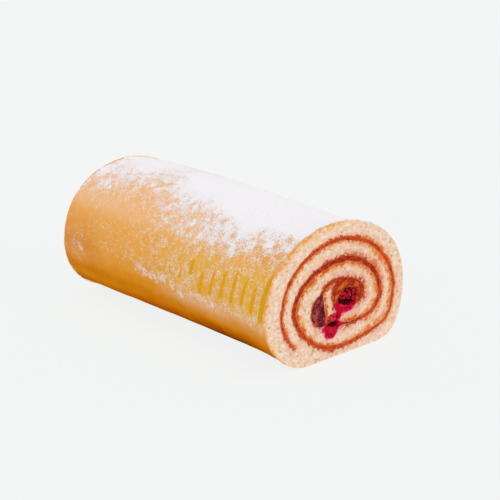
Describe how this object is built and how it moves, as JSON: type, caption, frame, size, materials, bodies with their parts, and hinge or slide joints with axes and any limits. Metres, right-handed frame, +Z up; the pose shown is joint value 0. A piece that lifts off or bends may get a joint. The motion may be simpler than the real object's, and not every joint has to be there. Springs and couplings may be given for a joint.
{
  "type": "swiss roll",
  "caption": "Rolled sponge cake with a spiral of jam and cut raspberries at both ends, lying on its flat underside.",
  "frame": {"origin": "centre of the bounding box on the surface that the roll lies on", "axes": "+Z up; Y along the roll; the -Y cut end is the one that the picture shows; +X to the right when facing that end"},
  "size_m": [0.0989, 0.168, 0.0732],
  "materials": {
    "sponge": "baked sponge: soft open crumb on the cut ends, thin golden crust outside, dusted with icing sugar",
    "jam": "cooked red fruit jam, moist and slightly glossy",
    "raspberry": "fresh raspberry flesh, moist, crimson, dark in the hollow"
  },
  "bodies": {
    "root": {"sponge": "sponge", "jam": "jam", "raspberry_front_upper": "raspberry", "raspberry_front_lower": "raspberry", "raspberry_back_upper": "raspberry", "raspberry_back_lower": "raspberry"}
  },
  "joints": []
}
